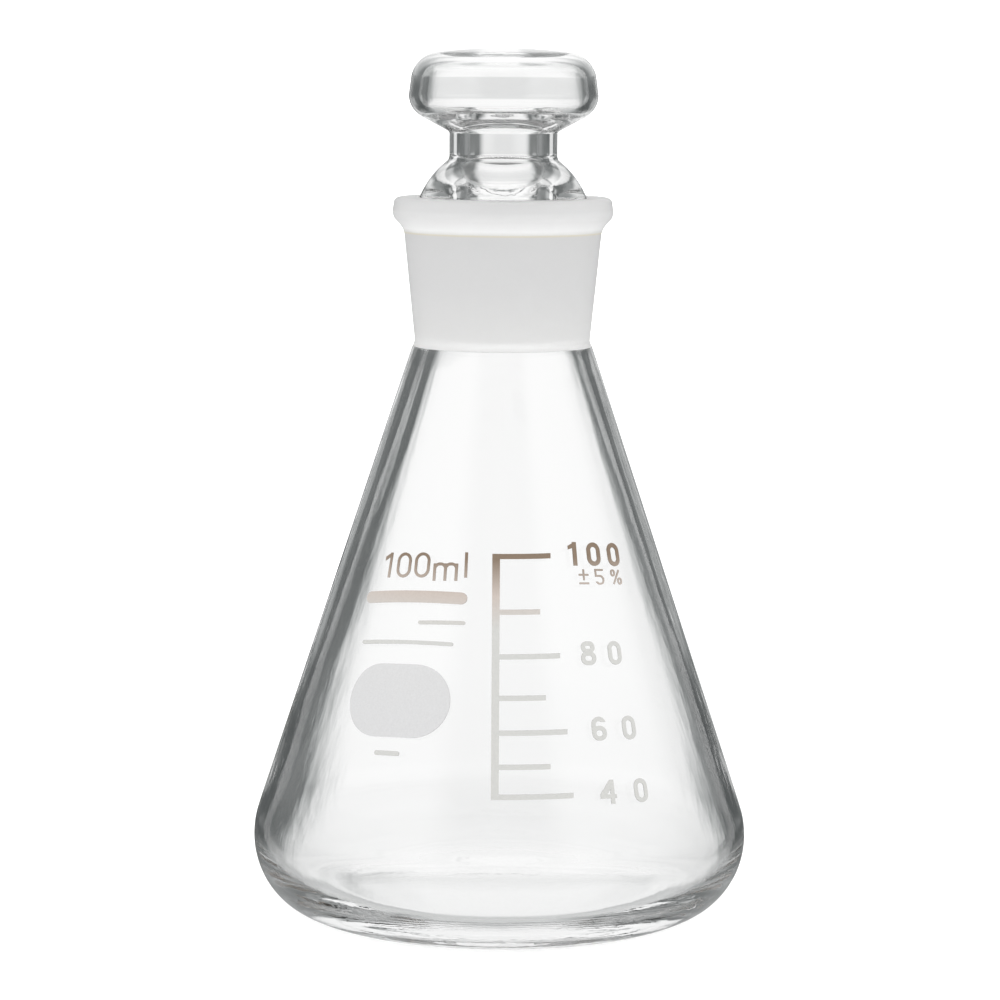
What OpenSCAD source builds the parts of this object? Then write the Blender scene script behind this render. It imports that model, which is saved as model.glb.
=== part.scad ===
// Stoppered conical flask, 100 ml: blown body, ground neck, hollow ground stopper and enamel print.
// Origin at the centre of the base, on the surface that it stands on. +Z up. The print faces -Y.

/* [Body] */
// Largest outside diameter of the body
body_d = 64; // [62:0.5:70]
// Height of the seam between the body and the neck
seam_h = 73.4; // [68:0.2:80]
// Outside diameter of the body at the seam
seam_d = 23.1; // [22.9:0.1:24.5]
// Width of the rounded heel, measured inwards from the largest radius
heel_w = 8.5; // [7:0.1:10]
// Height of the largest diameter above the base
heel_h = 9.8; // [8:0.1:12]
// Thickness of the cone's wall
wall_t = 1.4; // [1.2:0.1:1.8]
// Thickness of the floor at the standing ring
floor_t = 3.0; // [2.4:0.1:4]
// Radius of the rounded corner inside the heel
heel_inner_r = 7; // [5:0.5:9]
// How far the middle of the underside is pushed up
punt_h = 1.2; // [0.6:0.1:1.8]
// Width of the flat standing ring
ring_w = 2; // [1:0.5:4]

/* [Ground neck] */
// Diameter of the ground joint at its large end
joint_d = 21.5; // [21:0.1:22]
// Loss of diameter for each millimetre of depth
joint_taper = 0.1; // [0.08:0.01:0.12]
// Height of the neck above the seam
neck_h = 19.05; // [18.6:0.05:22]
// Outside diameter of the neck at the seam
neck_low_d = 22.64; // [22.4:0.02:22.9]
// Outside diameter of the neck under the rim bead
neck_top_d = 25.3; // [25:0.1:25.8]
// Outside diameter of the rim bead
bead_d = 28.3; // [27.5:0.1:29]

/* [Stopper] */
// Gap between the stopper and the neck
joint_gap = 0.03; // [0.02:0.01:0.05]
// Radius of the dome between the plug and the stem
dome_r = 11.6; // [11.5:0.05:11.7]
// Outside diameter of the stem
stem_d = 13.86; // [13:0.02:14]
// Diameter of the bore through the stem
stem_bore_d = 9.2; // [8.4:0.1:10]
// Largest diameter of the head
head_d = 24.24; // [23:0.02:26]
// Height of the head's crown above the rim
head_rise = 18.95; // [18.7:0.05:19.5]
// How far the crown falls from its middle to its edge
crown_drop = 0.5; // [0.3:0.1:0.7]
// Thickness of the plug's wall at its lower end
plug_wall_t = 1.3; // [1:0.1:2]
// Thickness of the dome's wall where it meets the plug
dome_wall_t = 1.3; // [1.1:0.1:1.6]
// Thickness of the head's wall at its edge
head_wall_t = 1.2; // [0.9:0.1:1.5]

/* [Print] */
// Thickness of the fired enamel
enamel_t = 0.1; // [0.08:0.01:0.15]
// Width of the scale's upright line
upright_w = 0.96; // [0.6:0.02:1.4]
// Thickness of the scale's level lines
tick_t = 0.62; // [0.4:0.02:0.9]
// Height of the scale's numerals
numeral_h = 3.0; // [2.4:0.1:3.6]
// Width of the write-on patch
patch_w = 14.4; // [10:0.2:15]
// Height of the write-on patch
patch_h = 9.2; // [6:0.2:9.6]

/* [Hidden] */
$fn = 120;

clear_glass = [0.84, 0.90, 0.90, 0.45];
ground_glass = [0.86, 0.88, 0.87, 0.85];
brown_enamel = [0.60, 0.52, 0.45];
pink_enamel = [0.78, 0.74, 0.71];
grey_enamel = [0.84, 0.84, 0.82];

// Points along a circle's arc, from angle a0 to angle a1
function arc(centre, r, a0, a1, steps) =
    [for (i = [0:steps]) let (a = a0 + (a1 - a0) * i / steps) centre + r * [cos(a), sin(a)]];
// Points along an arc of the heel's ellipse
function heel_arc(a0, a1, steps) =
    [for (i = [0:steps]) let (a = a0 + (a1 - a0) * i / steps) heel_point(a)];
function heel_point(a) = [ring_r + heel_w * cos(a), heel_h + heel_h * sin(a)];

// The cone is the line from the seam that just touches the heel's ellipse
ring_r = body_d / 2 - heel_w;
seam_r = seam_d / 2;
seam_across = (seam_r - ring_r) / heel_w;
seam_up = (seam_h - heel_h) / heel_h;
touch_angle = atan2(seam_up, seam_across) - acos(1 / norm([seam_across, seam_up]));
touch = heel_point(touch_angle);
cone_slope = (touch.x - seam_r) / (seam_h - touch.y);
cone_angle = atan(cone_slope);
function cone_r(z) = seam_r + (seam_h - z) * cone_slope;
// The same cone, a distance t inside the glass or, below zero, outside it
function cone_offset_r(z, t) = cone_r(z) - t / cos(cone_angle);

// Ground joint: one taper, shared by the neck and the plug
mouth_z = seam_h + neck_h;
joint_top_z = mouth_z - 0.45;
function joint_r(z) = joint_d / 2 - (joint_top_z - z) * joint_taper / 2;
function plug_r(z) = joint_r(z) - joint_gap;
plug_low_z = seam_h + 0.9;
plug_chamfer = 0.6;

// Stopper levels, counted up from the mouth
split_z = joint_top_z;
dome_z = mouth_z - 4.45;
dome_low_angle = acos(plug_r(split_z) / dome_r);
stem_r = stem_d / 2;
stem_low_z = mouth_z + 5.15;
stem_top_z = mouth_z + 8.15;
crown_z = mouth_z + head_rise;
head_r = head_d / 2;
bore_r = stem_bore_d / 2;
plug_low_bore_r = plug_r(plug_low_z) - plug_wall_t;
split_bore_r = plug_r(split_z) - dome_wall_t;
flare_power = 1.8;

// ---------- glass ----------

module flask_body() {
    inner_z = floor_t + heel_inner_r;
    inner_corner = [cone_offset_r(inner_z, wall_t + heel_inner_r), inner_z];
    punt_r = ring_r - ring_w;
    punt_sphere_r = (punt_r ^ 2 + punt_h ^ 2) / (2 * punt_h);
    punt_edge = asin(punt_r / punt_sphere_r);
    floor_crown = punt_h * 0.6;
    floor_sphere_r = (inner_corner.x ^ 2 + floor_crown ^ 2) / (2 * floor_crown);
    floor_edge = asin(inner_corner.x / floor_sphere_r);
    color(clear_glass) rotate_extrude() polygon(concat(
        arc([0, punt_h - punt_sphere_r], punt_sphere_r, 90, 90 - punt_edge, 8),
        heel_arc(-90, touch_angle, 24),
        [[seam_r, seam_h], [joint_r(seam_h), seam_h], [cone_offset_r(seam_h - 2, wall_t), seam_h - 2]],
        arc(inner_corner, heel_inner_r, cone_angle, -90, 16),
        arc([0, floor_t + floor_crown - floor_sphere_r], floor_sphere_r, 90 - floor_edge, 90, 8)
    ));
}

module ground_neck() {
    neck_low_r = neck_low_d / 2;
    neck_top_r = neck_top_d / 2;
    bead_r = bead_d / 2;
    bead_round = 1.75;
    edge_round = 0.85;
    lip_round = 0.35;
    color(ground_glass) rotate_extrude() polygon(concat(
        [[joint_r(seam_h), seam_h], [seam_r - 0.05, seam_h], [neck_low_r, seam_h + 0.7]],
        [[neck_top_r, mouth_z - 4.6], [neck_top_r + 0.22, mouth_z - 4]],
        arc([bead_r - bead_round, mouth_z - 1.85], bead_round, -35, 15, 6),
        arc([bead_r - 0.1 - edge_round, mouth_z - edge_round], edge_round, 22, 90, 6),
        arc([joint_d / 2 + lip_round, mouth_z - lip_round], lip_round, 90, 180, 4)
    ));
}

// Hollow ground cone, open at its lower end
module stopper_plug() {
    color(ground_glass) rotate_extrude() polygon(concat(
        [[plug_low_bore_r, plug_low_z]],
        [[plug_r(plug_low_z) - plug_chamfer, plug_low_z]],
        [[plug_r(plug_low_z + plug_chamfer), plug_low_z + plug_chamfer]],
        [[plug_r(split_z), split_z], [split_bore_r, split_z]]
    ));
}

// A point of the head's shallow crown, or of its inner side at depth t; part is 0 in the middle
function crown_point(r, part, t) = [r * part, crown_z - t - crown_drop * part ^ 2];
// A point of the bore's flare, from the stem down to the plug; part is 0 at its upper end
function bore_flare_point(top_z, part) =
    [bore_r + (split_bore_r - bore_r) * part ^ flare_power, top_z + (split_z - top_z) * part];

// Blown dome, stem and flat round head, hollow from the plug right up into the head
module stopper_head() {
    dome_top_angle = acos((stem_r + 0.15) / dome_r);
    shoulder_round = 3.9;
    crown_angle = 84;
    shoulder = [head_r - 4.12, crown_z - crown_drop - shoulder_round * sin(crown_angle)];
    belly = [head_r - 3.22, crown_z - 5.95];
    belly_round = 3.22;
    crown_wall_t = head_wall_t + 0.1;
    crown_r = shoulder.x + shoulder_round * cos(crown_angle);
    underside_angle = 66;
    mouth_round = 1.4;
    flare_z = stem_low_z - 0.6;
    color(clear_glass) rotate_extrude() polygon(concat(
        [[plug_r(split_z), split_z]],
        arc([0, dome_z], dome_r, dome_low_angle, dome_top_angle, 12),
        [[stem_r, stem_low_z], [stem_r, stem_top_z], [stem_r + 0.3, stem_top_z + 0.3]],
        arc(belly, belly_round, -underside_angle, 0, 10),
        arc(shoulder, shoulder_round, 14, crown_angle, 12),
        [for (i = [1:8]) crown_point(crown_r, 1 - i / 8, 0)],
        [for (i = [0:7]) crown_point(crown_r, i / 8, crown_wall_t)],
        arc(shoulder, shoulder_round - head_wall_t, crown_angle, 14, 10),
        arc(belly, belly_round - head_wall_t, 0, -underside_angle, 8),
        arc([bore_r + mouth_round, stem_top_z + 0.6], mouth_round, 98, 180, 6),
        [for (i = [0:10]) bore_flare_point(flare_z, i / 10)]
    ));
}

// ---------- enamel print ----------

// A skin of enamel on the outside of the cone, which every mark is cut from
module enamel_skin() {
    low_z = touch.y + 2;
    high_z = seam_h - 14;
    rotate_extrude() polygon([
        [cone_r(low_z), low_z],
        [cone_offset_r(low_z, -enamel_t), low_z],
        [cone_offset_r(high_z, -enamel_t), high_z],
        [cone_r(high_z), high_z]
    ]);
}

// A line of print sags a little towards the sides of the cone
print_sag = 3;
function printed_z(line_z, azimuth) = line_z - print_sag * (1 - cos(azimuth));

// Puts a flat mark on the cone, at an azimuth counted from -Y towards +X
module on_cone(azimuth, line_z) {
    z = printed_z(line_z, azimuth);
    tilt = atan(print_sag * sin(azimuth) / cone_r(z));
    rotate([0, 0, azimuth])
        translate([0, -cone_r(z), z])
            rotate([90 - cone_angle, 0, 0])
                rotate([0, 0, -tilt])
                    translate([0, 0, -3])
                        linear_extrude(4) children();
}

// A rectangle that ends in half circles, across or upright
module stadium(w, h) {
    r = min(w, h) / 2;
    square([w > h ? w - h : w, w > h ? h : h - w], center = true);
    for (i = [-1, 1]) translate([i * (w / 2 - r), i * (h / 2 - r)]) circle(r);
}

module loop(w, h, stroke) {
    difference() {
        stadium(w, h);
        stadium(w - 2 * stroke, h - 2 * stroke);
    }
}

function numeral_w(h) = h * 0.68;

// Numerals, each drawn h high about its own centre
module numeral_one(h, stroke) {
    translate([-stroke / 2 + h * 0.08, -h / 2]) square([stroke, h]);
    polygon([
        [h * 0.08, h / 2],
        [h * 0.08, h / 2 - stroke * 1.2],
        [-h * 0.22, h * 0.18],
        [-h * 0.22, h * 0.34]
    ]);
}

module numeral_zero(h, stroke) {
    loop(numeral_w(h), h, stroke);
}

module numeral_eight(h, stroke) {
    translate([0, -h * 0.21]) loop(numeral_w(h) * 1.04, h * 0.58, stroke);
    translate([0, h * 0.25]) loop(numeral_w(h) * 0.94, h * 0.5, stroke);
}

module numeral_six(h, stroke) {
    w = numeral_w(h);
    translate([0, -h * 0.19]) loop(w, h * 0.62, stroke);
    intersection() {
        loop(w, h, stroke);
        union() {
            translate([-w, -h * 0.2]) square([w, h]);
            translate([-w / 2, h * 0.27]) square([w, h]);
        }
    }
}

module numeral_four(h, stroke) {
    w = numeral_w(h) * 1.1;
    translate([w * 0.12, -h / 2]) square([stroke, h]);
    translate([-w / 2, -h * 0.27]) square([w, stroke * 0.9]);
    polygon([
        [-w / 2, -h * 0.27],
        [-w / 2, -h * 0.27 + stroke],
        [w * 0.12, h / 2],
        [w * 0.12 + stroke, h / 2],
        [w * 0.12 + stroke * 0.4, h / 2 - stroke * 1.4],
        [-w / 2 + stroke * 1.1, -h * 0.27]
    ]);
}

module numeral_five(h, stroke) {
    w = numeral_w(h);
    translate([-w / 2, h / 2 - stroke]) square([w * 0.95, stroke]);
    translate([-w / 2, 0]) square([stroke, h / 2]);
    translate([-w / 2, 0]) square([w / 2, stroke]);
    intersection() {
        translate([0, -h / 4 + stroke / 2]) loop(w, h / 2 + stroke, stroke);
        union() {
            translate([0, -h]) square([w, 2 * h]);
            translate([-w, -h]) square([2 * w, h * 0.7]);
        }
    }
}

module plus_minus(h, stroke) {
    w = h * 0.7;
    translate([0, h * 0.12]) square([w, stroke], center = true);
    translate([0, h * 0.12]) square([stroke, w], center = true);
    translate([0, -h * 0.42]) square([w, stroke], center = true);
}

module percent(h, stroke) {
    for (i = [-1, 1]) translate([i * h * 0.26, -i * h * 0.26]) loop(h * 0.38, h * 0.46, stroke);
    rotate(-32) square([stroke, h * 1.05], center = true);
}

module letter_m(h, stroke) {
    pitch = h * 0.36;
    for (i = [-1:1]) translate([i * pitch - stroke / 2, -h / 2]) square([stroke, h * 0.55]);
    for (i = [-0.5, 0.5]) translate([i * pitch, 0]) {
        intersection() {
            translate([0, -h * 0.13]) loop(pitch + stroke, h * 0.42, stroke);
            translate([-h, -h * 0.13]) square([2 * h, h]);
        }
    }
}

module letter_l(h, stroke) {
    square([stroke, h], center = true);
}

// Height of the line for each ten millilitres, from 40 to 100
tick_z = [20.3, 23.8, 27.8, 31.9, 36.8, 42.1, 48.75];
long_tick_angle = 18.2;
short_tick_angle = 12.9;
upright_x = -0.6;

module scale_lines() {
    left_x = upright_x - upright_w / 2;
    low_z = tick_z[0] - tick_t / 2;
    high_z = tick_z[6] + tick_t / 2;
    color(grey_enamel) intersection() {
        enamel_skin();
        union() {
            translate([left_x, -body_d, low_z]) cube([upright_w, body_d, high_z - low_z]);
            for (i = [0:6]) {
                end_x = cone_r(tick_z[i]) * sin(i % 2 == 0 ? long_tick_angle : short_tick_angle);
                translate([left_x, -body_d, tick_z[i] - tick_t / 2])
                    cube([end_x - left_x, body_d, tick_t]);
            }
        }
    }
}

// Numerals stand a little above the line that they name
numeral_rise = 0.4;
numeral_angles = [27.4, 36.8];
hundred_angles = [27, 35.7, 45];

module scale_numerals() {
    stroke = numeral_h * 0.19;
    hundred_z = tick_z[6] + numeral_rise;
    color(grey_enamel) intersection() {
        enamel_skin();
        union() {
            on_cone(hundred_angles[0], hundred_z) numeral_one(numeral_h, stroke);
            on_cone(hundred_angles[1], hundred_z) numeral_zero(numeral_h, stroke);
            on_cone(hundred_angles[2], hundred_z) numeral_zero(numeral_h, stroke);
            on_cone(numeral_angles[0], tick_z[4] + numeral_rise) numeral_eight(numeral_h, stroke);
            on_cone(numeral_angles[0], tick_z[2] + numeral_rise) numeral_six(numeral_h, stroke);
            on_cone(numeral_angles[0], tick_z[0] + numeral_rise) numeral_four(numeral_h, stroke);
            for (i = [0, 2, 4])
                on_cone(numeral_angles[1], tick_z[i] + numeral_rise) numeral_zero(numeral_h, stroke);
        }
    }
}

// Tolerance of the scale, in thin strokes under the top numeral
module tolerance_mark() {
    mark_h = 2;
    mark_z = 46.4;
    stroke = 0.24;
    color(brown_enamel) intersection() {
        enamel_skin();
        union() {
            on_cone(30, mark_z) plus_minus(mark_h, stroke);
            on_cone(36.5, mark_z) numeral_five(mark_h, stroke);
            on_cone(44, mark_z) percent(mark_h, stroke);
        }
    }
}

// Nominal capacity, in thin strokes at the top left of the print
module capacity_mark() {
    mark_h = 3.2;
    mark_z = 47.7;
    stroke = 0.38;
    color(brown_enamel) intersection() {
        enamel_skin();
        union() {
            on_cone(-43.5, mark_z) numeral_one(mark_h, stroke);
            on_cone(-36.6, mark_z) numeral_zero(mark_h, stroke);
            on_cone(-29, mark_z) numeral_zero(mark_h, stroke);
            on_cone(-19.9, mark_z) letter_m(mark_h * 1.25, stroke);
            on_cone(-12.4, mark_z) letter_l(mark_h, stroke);
        }
    }
}

// Plain bars in the places of small printed lines: each is [azimuth, height, length, thickness]
bars = [[-31, 43.9, 14.6, 1.5], [-19.2, 40.8, 6.2, 0.5], [-31, 38.4, 13.2, 0.5], [-30.4, 25.1, 3.6, 0.6]];

module plain_bars() {
    color(pink_enamel) intersection() {
        enamel_skin();
        for (bar = bars) on_cone(bar[0], bar[1]) stadium(bar[2], bar[3]);
    }
}

module write_on_patch() {
    color(grey_enamel) intersection() {
        enamel_skin();
        on_cone(-30.3, 31.4) stadium(patch_w, patch_h);
    }
}

flask_body();
ground_neck();
stopper_head();
stopper_plug();
scale_lines();
scale_numerals();
tolerance_mark();
capacity_mark();
plain_bars();
write_on_patch();
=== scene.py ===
import math
import random

import bmesh
import bpy
from mathutils import Matrix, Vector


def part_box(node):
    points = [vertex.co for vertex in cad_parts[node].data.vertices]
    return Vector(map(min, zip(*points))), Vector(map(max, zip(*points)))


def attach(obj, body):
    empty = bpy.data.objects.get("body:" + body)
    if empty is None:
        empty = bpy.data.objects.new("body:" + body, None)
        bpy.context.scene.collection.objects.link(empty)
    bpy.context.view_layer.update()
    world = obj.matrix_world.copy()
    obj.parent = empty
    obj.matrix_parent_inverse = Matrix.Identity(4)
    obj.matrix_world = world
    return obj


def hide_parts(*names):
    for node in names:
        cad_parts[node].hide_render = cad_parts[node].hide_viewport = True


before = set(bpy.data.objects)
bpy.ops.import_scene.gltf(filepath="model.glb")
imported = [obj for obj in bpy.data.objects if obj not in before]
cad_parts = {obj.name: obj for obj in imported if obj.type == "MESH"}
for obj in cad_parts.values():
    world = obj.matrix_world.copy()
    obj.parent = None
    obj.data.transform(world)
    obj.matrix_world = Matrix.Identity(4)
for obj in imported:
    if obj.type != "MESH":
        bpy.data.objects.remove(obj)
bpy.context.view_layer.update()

scene = bpy.context.scene

# ---------- sizes in millimetres: boxes from the frame, the rest to match the CAD ----------

MM = 0.001


def node_box(node):
    low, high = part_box(node)
    return [v / MM for v in low], [v / MM for v in high]


body_low, body_high = node_box("flask_body")
neck_low, neck_high = node_box("ground_neck")
head_low, head_high = node_box("stopper_head")
plug_low, plug_high = node_box("stopper_plug")

body_r = body_high[0]
seam_z = body_high[2]
bead_r = neck_high[0]
mouth_z = neck_high[2]
head_r = head_high[0]
crown_z = head_high[2]
split_z = head_low[2]
plug_low_z = plug_low[2]
plug_top_r = plug_high[0]

SEGMENTS = 384

# Body: an elliptical heel, a straight cone and a seam under the neck; enamel_bite sinks the print a little
heel_w = 8.5
heel_h = 9.8
seam_r = 11.55
wall_t = 1.4
floor_t = 3.0
heel_inner_r = 7.0
punt_h = 1.2
ring_w = 2.0
enamel_bite = 0.02

# Ground joint; part_gap keeps the glass pieces from touching face to face
joint_taper = 0.05
joint_gap = 0.03
part_gap = 0.01

# Stopper, hollow; the bore widens from bore_r to split_bore_r by flare_power
dome_r = 11.6
dome_z = mouth_z - 4.45
dome_wall_t = 1.3
stem_r = 6.93
bore_r = 4.6
stem_low_z = mouth_z + 5.15
stem_top_z = mouth_z + 8.15
head_wall_t = 1.2
crown_drop = 0.5
split_bore_r = plug_top_r - dome_wall_t
flare_power = 1.8


# ---------- outlines: lists of (radius, height) ----------

def arc(centre, radius, start, end, steps):
    """Points on a circle's arc, with its angles in degrees."""
    points = []
    for i in range(steps + 1):
        angle = math.radians(start + (end - start) * i / steps)
        points.append((centre[0] + radius * math.cos(angle), centre[1] + radius * math.sin(angle)))
    return points


def smooth(low, high, value):
    """Goes from 0 at low to 1 at high without a kink; low may be the larger one."""
    t = min(1, max(0, (value - low) / (high - low)))
    return t * t * (3 - 2 * t)


def line(start, end, steps):
    """Points on a straight stretch, without its first one."""
    return [
        (start[0] + (end[0] - start[0]) * i / steps, start[1] + (end[1] - start[1]) * i / steps)
        for i in range(1, steps + 1)
    ]


ring_r = body_r - heel_w


def heel_point(angle):
    return ring_r + heel_w * math.cos(angle), heel_h + heel_h * math.sin(angle)


seam_across = (seam_r - ring_r) / heel_w
seam_up = (seam_z - heel_h) / heel_h
touch_angle = math.atan2(seam_up, seam_across) - math.acos(1 / math.hypot(seam_across, seam_up))
touch_r, touch_z = heel_point(touch_angle)
cone_slope = (touch_r - seam_r) / (seam_z - touch_z)
cone_angle = math.atan(cone_slope)


def wall_at(z):
    """Thickness of the cone's wall: thick at the shoulder, thin above the heel."""
    return wall_t + 0.15 * smooth(48, 70, z) - 0.15 * smooth(42, 32, z) * smooth(14, 26, z)


def cone_r(z, inside=0.0):
    """Radius of the cone's surface, or of a parallel one that lies inside the glass."""
    return seam_r + (seam_z - z) * cone_slope - inside / math.cos(cone_angle)


def joint_r(z):
    """Radius of the ground socket at a height."""
    return plug_top_r + joint_gap - (split_z - z) * joint_taper


def body_outline():
    """Closed outline of the body, from the middle of the underside round to the middle of the floor."""
    punt_r = ring_r - ring_w
    outline = [(punt_r * i / 12, punt_h * (1 - (i / 12) ** 2)) for i in range(13)]
    outline += line(outline[-1], (ring_r, 0), 3)
    for i in range(1, 37):
        outline.append(heel_point(-math.pi / 2 + (touch_angle + math.pi / 2) * i / 36))
    bite_z = touch_z + 1.5
    outline += line(outline[-1], (cone_r(bite_z) + enamel_bite, bite_z), 2)
    outline += line(outline[-1], (cone_r(seam_z - 2) + enamel_bite, seam_z - 2), 56)
    outline += line(outline[-1], (seam_r, seam_z), 3)
    outline += line(outline[-1], (joint_r(seam_z), seam_z), 2)
    inner_z = floor_t + heel_inner_r
    corner = (cone_r(inner_z, wall_t + heel_inner_r), inner_z)
    inner = arc(corner, heel_inner_r, math.degrees(cone_angle), -90, 30)
    for i in range(60):
        z = seam_z - 2 + (inner[0][1] - seam_z + 2) * i / 60
        outline.append((cone_r(z, wall_at(z)), z))
    outline += inner
    rise = punt_h * 0.6
    outline += [(corner[0] * (1 - i / 12), floor_t + rise * (1 - (1 - i / 12) ** 2)) for i in range(1, 13)]
    return outline


def neck_outline():
    """Closed outline of the neck: up the outside, over the rim bead and down the socket."""
    neck_low_r = 11.26
    neck_high_r = 12.65
    bead_round = 1.75
    edge_round = 0.85
    lip_round = 0.35
    socket_r = plug_top_r + joint_gap
    low_z = seam_z + part_gap
    outline = [(joint_r(low_z), low_z)]
    outline += line(outline[-1], (seam_r - 0.05, low_z), 2)
    outline += line(outline[-1], (neck_low_r, seam_z + 0.7), 2)
    outline += line(outline[-1], (neck_high_r, mouth_z - 4.6), 16)
    outline += line(outline[-1], (12.87, mouth_z - 4.0), 2)
    outline += line(outline[-1], (13.2, mouth_z - 3.5), 2)
    outline += arc((bead_r - bead_round, mouth_z - 1.85), bead_round, -30, 15, 8)
    outline += arc((bead_r - 0.1 - edge_round, mouth_z - edge_round), edge_round, 25, 90, 8)
    outline += arc((socket_r + lip_round, mouth_z - lip_round), lip_round, 90, 180, 6)
    outline += line(outline[-1], (joint_r(seam_z + 0.5), seam_z + 0.5), 20)
    return outline


def plug_outline():
    """Closed outline of the plug: a chamfered cone with a conical bore."""
    chamfer = 0.6
    plug_wall_t = 1.3
    low_r = joint_r(plug_low_z) - joint_gap
    outline = [(low_r - plug_wall_t, plug_low_z), (low_r - chamfer, plug_low_z)]
    outline += line(outline[-1], (joint_r(plug_low_z + chamfer) - joint_gap, plug_low_z + chamfer), 2)
    outline += line(outline[-1], (plug_top_r, split_z - part_gap), 18)
    outline += line(outline[-1], (split_bore_r, split_z - part_gap), 3)
    outline += line(outline[-1], outline[0], 12)[:-1]
    return outline


def head_outline():
    """Closed outline of the stopper's top: dome, stem, head and crown outside, then the hollow inside."""
    dome_low = math.degrees(math.acos(plug_top_r / dome_r))
    dome_top = math.degrees(math.acos((stem_r + 0.15) / dome_r))
    shoulder_round = 3.9
    belly_round = 3.22
    mouth_round = 1.4
    crown_extra_t = 0.3
    flare_z = stem_low_z - 0.6
    flare_steps = 28
    crown_angle = math.radians(84)
    shoulder = (head_r - 4.12, crown_z - crown_drop - shoulder_round * math.sin(crown_angle))
    belly = (head_r - belly_round, crown_z - 5.95)
    crown_r = shoulder[0] + shoulder_round * math.cos(crown_angle)
    crown = [(crown_r * i / 16, crown_z - crown_drop * (i / 16) ** 2) for i in range(16)]
    outline = [(plug_top_r, split_z)]
    outline += arc((0, dome_z), dome_r, dome_low, dome_top, 22)
    outline += line(outline[-1], (stem_r, stem_low_z), 2)
    outline += line(outline[-1], (stem_r, stem_top_z), 6)
    outline += line(outline[-1], (stem_r + 0.3, stem_top_z + 0.3), 2)
    outline += arc(belly, belly_round, -66, 0, 24)
    outline += arc(shoulder, shoulder_round, 14, math.degrees(crown_angle), 24)
    outline += crown[::-1]
    outline += [(r, z - head_wall_t - crown_extra_t * (1 - (r / crown_r) ** 2) ** 2) for r, z in crown]
    outline += arc(shoulder, shoulder_round - head_wall_t, math.degrees(crown_angle), 14, 24)
    outline += arc(belly, belly_round - head_wall_t, 0, -66, 24)
    outline += arc((bore_r + mouth_round, stem_top_z + 0.6), mouth_round, 98, 180, 12)
    outline += line(outline[-1], (bore_r, flare_z), 6)
    for i in range(1, flare_steps + 1):
        part = i / flare_steps
        flare_r = bore_r + (split_bore_r - bore_r) * part ** flare_power
        outline.append((flare_r, flare_z + (split_z - flare_z) * part))
    return outline


# ---------- mesh making ----------

def ripple(orders, size, drift, seed):
    """A smooth wobble round the axis, in millimetres, that changes slowly with height."""
    draw = random.Random(seed)
    waves = [
        (k, size / k * draw.uniform(0.5, 1.0), draw.uniform(0, math.tau), draw.uniform(-drift, drift))
        for k in orders
    ]

    def wobble(angle, z):
        return sum(a * math.cos(k * angle + phase + turn * z) for k, a, phase, turn in waves)

    return wobble


def lathe(name, outline, wobble=None):
    """Turns a closed outline into a mesh of quads. wobble(angle, r, z) moves a point outwards."""
    rings = []
    vertices = []
    for r, z in outline:
        if r < 1e-6:
            rings.append([len(vertices)])
            vertices.append((0, 0, z * MM))
            continue
        rings.append(range(len(vertices), len(vertices) + SEGMENTS))
        for i in range(SEGMENTS):
            angle = math.tau * i / SEGMENTS
            out = r + (wobble(angle, r, z) if wobble else 0)
            vertices.append((out * math.cos(angle) * MM, out * math.sin(angle) * MM, z * MM))
    faces = []
    for low, high in zip(rings, rings[1:] + rings[:1]):
        if len(low) == 1 and len(high) == 1:
            continue
        for i in range(SEGMENTS):
            j = (i + 1) % SEGMENTS
            corners = [low[i % len(low)], low[j % len(low)], high[j % len(high)], high[i % len(high)]]
            faces.append(tuple(dict.fromkeys(corners)))
    mesh = bpy.data.meshes.new(name)
    mesh.from_pydata(vertices, [], faces)
    shape = bmesh.new()
    shape.from_mesh(mesh)
    bmesh.ops.remove_doubles(shape, verts=shape.verts, dist=1e-7)
    bmesh.ops.recalc_face_normals(shape, faces=shape.faces)
    shape.to_mesh(mesh)
    shape.free()
    mesh.shade_smooth()
    mesh.set_sharp_from_angle(angle=math.radians(32))
    piece = bpy.data.objects.new(name, mesh)
    scene.collection.objects.link(piece)
    return piece


def finish_piece(piece, body, slot, material, *nodes):
    """Puts a glass piece on its body, in place of its CAD node."""
    piece.data.materials.append(material)
    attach(piece, body)
    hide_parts(*nodes)


# ---------- materials ----------

def new_material(name, **sockets):
    material = bpy.data.materials.new(name)
    material.use_nodes = True
    shader = material.node_tree.nodes["Principled BSDF"]
    for socket, value in sockets.items():
        shader.inputs[socket.replace("_", " ")].default_value = value
    return material, material.node_tree, shader


def height_colour(tree, place, shader, stops):
    """Makes the base colour follow the height: stops are (height in millimetres, colour)."""
    low = stops[0][0]
    high = stops[-1][0]
    split = tree.nodes.new("ShaderNodeSeparateXYZ")
    span = tree.nodes.new("ShaderNodeMapRange")
    span.inputs["From Min"].default_value = low * MM
    span.inputs["From Max"].default_value = high * MM
    ramp = tree.nodes.new("ShaderNodeValToRGB")
    ramp.color_ramp.elements.remove(ramp.color_ramp.elements[0])
    for i, (height, colour) in enumerate(stops):
        at = (height - low) / (high - low)
        stop = ramp.color_ramp.elements[0] if i == 0 else ramp.color_ramp.elements.new(at)
        stop.position = at
        stop.color = (*colour, 1)
    tree.links.new(place.outputs["Object"], split.inputs["Vector"])
    tree.links.new(split.outputs["Z"], span.inputs["Value"])
    tree.links.new(span.outputs["Result"], ramp.inputs["Fac"])
    tree.links.new(ramp.outputs["Color"], shader.inputs["Base Color"])


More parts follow.
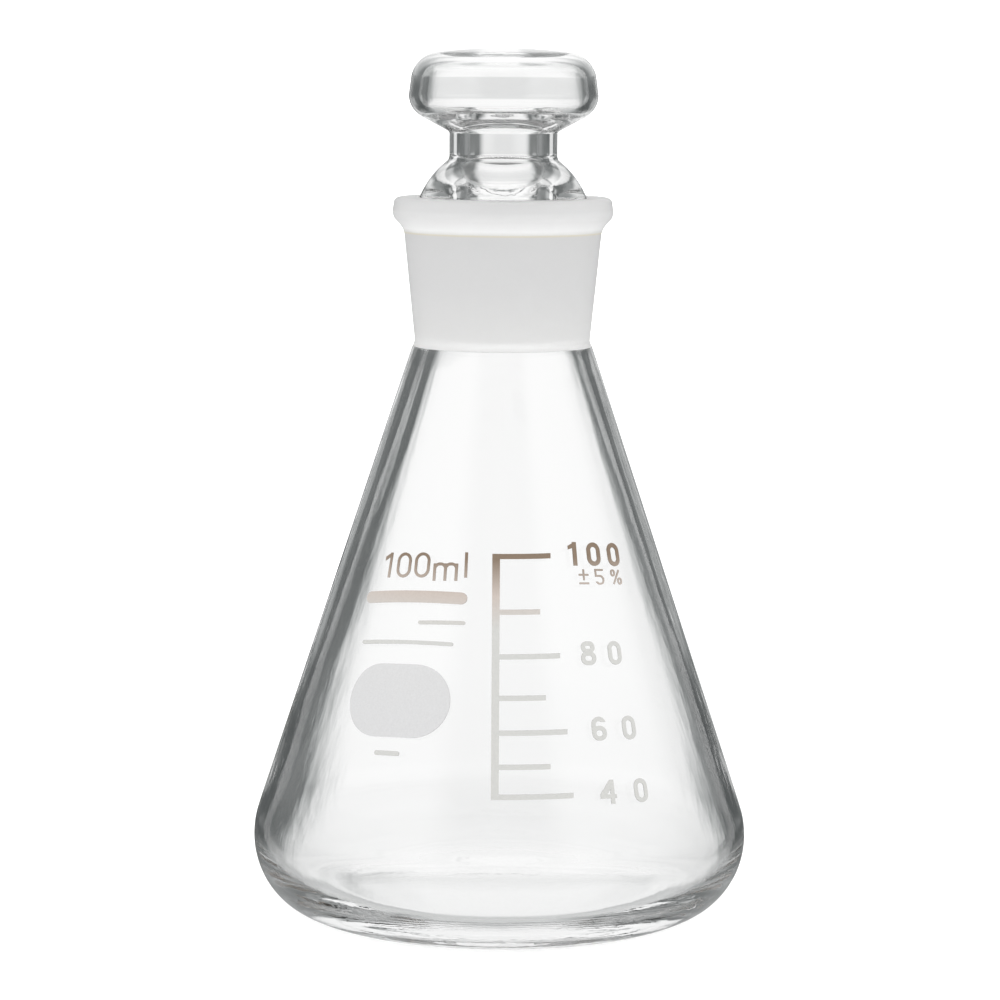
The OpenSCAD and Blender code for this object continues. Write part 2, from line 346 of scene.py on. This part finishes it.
def clear_glass():
    """Blown glass with faint upright cords."""
    material, tree, shader = new_material("clear_glass", Roughness=0.0, IOR=1.474)
    shader.inputs["Base Color"].default_value = (0.995, 0.996, 0.995, 1)
    shader.inputs["Transmission Weight"].default_value = 1.0
    place = tree.nodes.new("ShaderNodeTexCoord")
    stretch = tree.nodes.new("ShaderNodeMapping")
    stretch.inputs["Scale"].default_value = (260, 260, 24)
    cords = tree.nodes.new("ShaderNodeTexNoise")
    cords.inputs["Scale"].default_value = 1.0
    cords.inputs["Detail"].default_value = 3.0
    bump = tree.nodes.new("ShaderNodeBump")
    bump.inputs["Strength"].default_value = 0.08
    bump.inputs["Distance"].default_value = 0.0003
    tree.links.new(place.outputs["Object"], stretch.inputs["Vector"])
    tree.links.new(stretch.outputs["Vector"], cords.inputs["Vector"])
    tree.links.new(cords.outputs["Fac"], bump.inputs["Height"])
    tree.links.new(bump.outputs["Normal"], shader.inputs["Normal"])
    return material


def ground_glass(name, stops):
    """Matt glass that lets half of the light through, with a grinding grain; its colour follows the height
    through stops, which paint light and shade.
    """
    material, tree, shader = new_material(name, Roughness=0.42, IOR=1.474)
    shader.inputs["Transmission Weight"].default_value = 0.5
    place = tree.nodes.new("ShaderNodeTexCoord")
    height_colour(tree, place, shader, stops)
    grain = tree.nodes.new("ShaderNodeTexNoise")
    grain.inputs["Scale"].default_value = 4000
    grain.inputs["Detail"].default_value = 4.0
    bump = tree.nodes.new("ShaderNodeBump")
    bump.inputs["Strength"].default_value = 0.25
    bump.inputs["Distance"].default_value = 0.0001
    tree.links.new(place.outputs["Object"], grain.inputs["Vector"])
    tree.links.new(grain.outputs["Fac"], bump.inputs["Height"])
    tree.links.new(bump.outputs["Normal"], shader.inputs["Normal"])
    return material


def enamel(name, stops):
    """Fired enamel with the fine mottle of a screen print; its colour follows the height through stops, and
    in the scale print that change is painted shade.
    """
    material, tree, shader = new_material(name, Roughness=0.5)
    place = tree.nodes.new("ShaderNodeTexCoord")
    height_colour(tree, place, shader, stops)
    colour = shader.inputs["Base Color"].links[0].from_socket
    mottle = tree.nodes.new("ShaderNodeTexNoise")
    mottle.inputs["Scale"].default_value = 4500
    mottle.inputs["Detail"].default_value = 3.0
    shade = tree.nodes.new("ShaderNodeMapRange")
    shade.inputs["From Min"].default_value = 0.3
    shade.inputs["From Max"].default_value = 0.7
    shade.inputs["To Min"].default_value = 0.96
    shade.inputs["To Max"].default_value = 1.04
    tint = tree.nodes.new("ShaderNodeMix")
    tint.data_type = "RGBA"
    tint.blend_type = "MULTIPLY"
    tint.inputs["Factor"].default_value = 1.0
    bump = tree.nodes.new("ShaderNodeBump")
    bump.inputs["Strength"].default_value = 0.15
    bump.inputs["Distance"].default_value = 0.00005
    tree.links.new(place.outputs["Object"], mottle.inputs["Vector"])
    tree.links.new(mottle.outputs["Fac"], shade.inputs["Value"])
    tree.links.new(colour, tint.inputs["A"])
    tree.links.new(shade.outputs["Result"], tint.inputs["B"])
    tree.links.new(tint.outputs["Result"], shader.inputs["Base Color"])
    tree.links.new(mottle.outputs["Fac"], bump.inputs["Height"])
    tree.links.new(bump.outputs["Normal"], shader.inputs["Normal"])
    return material


# ---------- the glass ----------

wall_waves = ripple([1, 2, 3, 5, 7, 9, 12, 17, 23, 31, 43, 59], 0.08, 0.008, 3)


def body_wobble(angle, r, z):
    """Moves only the inner side of the body, and less near the floor."""
    inside = z > 2 and r < cone_r(max(z, touch_z)) - 0.6
    fade = min(1, r / 10) * (0.3 + 0.7 * smooth(15, 60, z))
    return wall_waves(angle, z) * fade if inside and z < seam_z - 2.5 else 0


glass = clear_glass()
# The neck's stops paint light and shade: lighter low down and darker towards the rim bead, a painted
# highlight band at the foot of the bead at 88.6 mm, and darker again up to the mouth. The thin yellowish
# line at 88 mm is a mark in the glass itself.
neck_matt_painted_light = ground_glass("neck_glass", [
    (73, (0.86, 0.86, 0.855)),
    (75.5, (0.80, 0.80, 0.795)),
    (81, (0.75, 0.75, 0.75)),
    (87.8, (0.72, 0.72, 0.72)),
    (88.0, (0.77, 0.72, 0.58)),
    (88.15, (0.83, 0.83, 0.81)),
    (88.6, (1.0, 1.0, 1.0)),
    (89.6, (0.89, 0.89, 0.89)),
    (91.0, (0.73, 0.73, 0.73)),
    (92.5, (0.71, 0.71, 0.71)),
])
# The plug's stops are painted light: the plug is drawn lighter towards its top.
plug_matt_painted_light = ground_glass("plug_glass", [
    (74, (0.70, 0.70, 0.70)),
    (88, (0.74, 0.74, 0.74)),
    (92, (0.90, 0.90, 0.90)),
])
finish_piece(lathe("flask_glass", body_outline(), body_wobble), "flask", "clear_glass", glass, "flask_body")
finish_piece(lathe("neck_glass", neck_outline()), "flask", "ground_glass", neck_matt_painted_light, "ground_neck")
finish_piece(lathe("stopper_top", head_outline()), "stopper", "clear_glass", glass, "stopper_head")
finish_piece(lathe("stopper_cone", plug_outline()), "stopper", "ground_glass", plug_matt_painted_light, "stopper_plug")

# ---------- the print ----------

# The print is white enamel. Its stops run from grey low down, through pink, to dark brown at the top. This
# darkening upwards is painted shade, where less light falls on the print.
print_top_shade = (0.175, 0.125, 0.085)
print_half_shade = (0.40, 0.35, 0.315)
grey = (0.425, 0.425, 0.41)
print_with_painted_shade = enamel("print_enamel", [(30, grey), (40, grey), (44, print_half_shade), (48.4, print_top_shade), (52, print_top_shade)])
patch_material = enamel("patch_enamel", [(20, (0.45, 0.45, 0.455)), (40, (0.465, 0.465, 0.465))])
for node in ["scale_lines", "scale_numerals", "tolerance_mark", "capacity_mark", "plain_bars"]:
    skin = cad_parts[node]
    skin.data.materials.clear()
    skin.data.materials.append(print_with_painted_shade)
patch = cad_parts["write_on_patch"]
patch.data.materials.clear()
patch.data.materials.append(patch_material)

# ---------- camera ----------

camera_data = bpy.data.cameras.new("camera")
camera = bpy.data.objects.new("camera", camera_data)
scene.collection.objects.link(camera)
scene.camera = camera
camera_data.sensor_width = 36
camera_data.lens = 129
camera_data.clip_start = 0.01
lean = 0.34
camera.matrix_world = (
    Matrix.Translation((-0.00017, -0.460, 0.1101))
    @ Matrix.Rotation(math.radians(90 - 7.03), 4, "X")
    @ Matrix.Rotation(math.radians(lean), 4, "Z")
)
bpy.context.view_layer.update()

# ---------- studio ----------

SOFT_LIGHT = 1.7


def studio_glow(turn, rise):
    """Brightness in a direction: turn is in degrees from straight behind the flask, rise above level.

    opening is the window, level its brightness, screen the dark surround, gap a pair of paler stripes beside
    the window, room the pale sides, floor the light from below and ceiling the light from above.
    """
    side = abs(turn)
    opening = smooth(-15.5, -8, turn) * (0.75 * smooth(17.5, 10.5, turn) + 0.25 * smooth(26, 14, turn))
    level = 1.03 - 0.10 * smooth(-10, -30, rise) - 0.19 * smooth(0, 3, rise) * smooth(12, 9, rise)
    level -= 0.42 * smooth(-40, -60, rise)
    screen = 0.1 + 0.04 * smooth(-4, 4, rise)
    gap = 0.34 * smooth(-9, -3, rise) * smooth(5.5, 2.5, rise) * smooth(18, 22, side) * smooth(33, 28, side)
    room = 0.14 * smooth(-10, 0, rise) * smooth(45, 62, side)
    room += 0.55 * smooth(75, 95, side) * smooth(160, 140, side) * smooth(-5, 8, rise)
    floor = 0.42 * smooth(-18, -32, rise)
    ceiling = 0.5 * smooth(10, 15, rise) + 0.5 * smooth(26, 42, rise)
    ceiling *= 1 - 0.6 * smooth(24, 38, side) * smooth(62, 48, rise)
    return max(opening * level, screen + gap + room + floor, ceiling)


def tent():
    """The shell of light round the table. It shows only in gloss and through glass, and follows the camera.

    A path that has met a matt surface sees plain white instead of the pattern.
    """
    radius = 0.35
    mesh = bpy.data.meshes.new("tent")
    turns = range(-180, 180)
    rises = range(-90, 91, 3)
    vertices = []
    glows = []
    for rise in rises:
        for turn in turns:
            a = math.radians(turn)
            e = math.radians(rise)
            vertices.append((
                radius * math.sin(a) * math.cos(e),
                radius * math.cos(a) * math.cos(e),
                radius * math.sin(e) + crown_z * MM / 2,
            ))
            glows.append(studio_glow(turn, rise))
    columns = len(turns)
    faces = []
    for row in range(len(rises) - 1):
        for i in range(columns):
            j = (i + 1) % columns
            low = row * columns
            high = low + columns
            faces.append((low + i, low + j, high + j, high + i))
    mesh.from_pydata(vertices, [], faces)
    layer = mesh.color_attributes.new("glow", "FLOAT_COLOR", "POINT")
    for value, glow in zip(layer.data, glows):
        value.color = (glow ** 1.03, glow, glow, 1)
    mesh.shade_smooth()
    material = bpy.data.materials.new("tent")
    material.use_nodes = True
    tree = material.node_tree
    tree.nodes.clear()
    read = tree.nodes.new("ShaderNodeAttribute")
    read.attribute_name = "glow"
    lamp = tree.nodes.new("ShaderNodeEmission")
    soft = tree.nodes.new("ShaderNodeEmission")
    soft.inputs["Strength"].default_value = SOFT_LIGHT
    path = tree.nodes.new("ShaderNodeLightPath")
    mix = tree.nodes.new("ShaderNodeMixShader")
    out = tree.nodes.new("ShaderNodeOutputMaterial")
    tree.links.new(read.outputs["Color"], lamp.inputs["Color"])
    tree.links.new(path.outputs["Diffuse Depth"], mix.inputs[0])
    tree.links.new(lamp.outputs["Emission"], mix.inputs[1])
    tree.links.new(soft.outputs["Emission"], mix.inputs[2])
    tree.links.new(mix.outputs["Shader"], out.inputs["Surface"])
    material.cycles.emission_sampling = "NONE"
    mesh.materials.append(material)
    shell = bpy.data.objects.new("tent", mesh)
    scene.collection.objects.link(shell)
    shell.visible_camera = False
    shell.visible_diffuse = False
    shell.visible_shadow = False
    shell.parent = camera
    shell.matrix_parent_inverse = camera.matrix_world.inverted()
    return shell


def table():
    """A round pale table top, which the glass doesn't mirror."""
    mesh = bpy.data.meshes.new("table")
    count = 96
    radius = 0.2
    corners = [
        (radius * math.cos(math.tau * i / count), radius * math.sin(math.tau * i / count), 0)
        for i in range(count)
    ]
    mesh.from_pydata(corners, [], [tuple(range(count))])
    top, tree, shader = new_material("table", Roughness=0.9)
    shader.inputs["Base Color"].default_value = (0.5, 0.5, 0.5, 1)
    shader.inputs["Specular IOR Level"].default_value = 0.0
    shader.inputs["Emission Color"].default_value = (1, 1, 1, 1)
    shader.inputs["Emission Strength"].default_value = 0.65
    mesh.materials.append(top)
    floor = bpy.data.objects.new("table", mesh)
    scene.collection.objects.link(floor)
    floor.visible_glossy = False
    floor.visible_transmission = False
    return floor


tent()
table()

world = bpy.data.worlds.new("studio")
scene.world = world
world.use_nodes = True
world.node_tree.nodes["Background"].inputs["Color"].default_value = (1, 1, 1, 1)
world.node_tree.nodes["Background"].inputs["Strength"].default_value = SOFT_LIGHT

scene.view_settings.view_transform = "Standard"
scene.cycles.max_bounces = 96
scene.cycles.transmission_bounces = 96
scene.cycles.glossy_bounces = 96
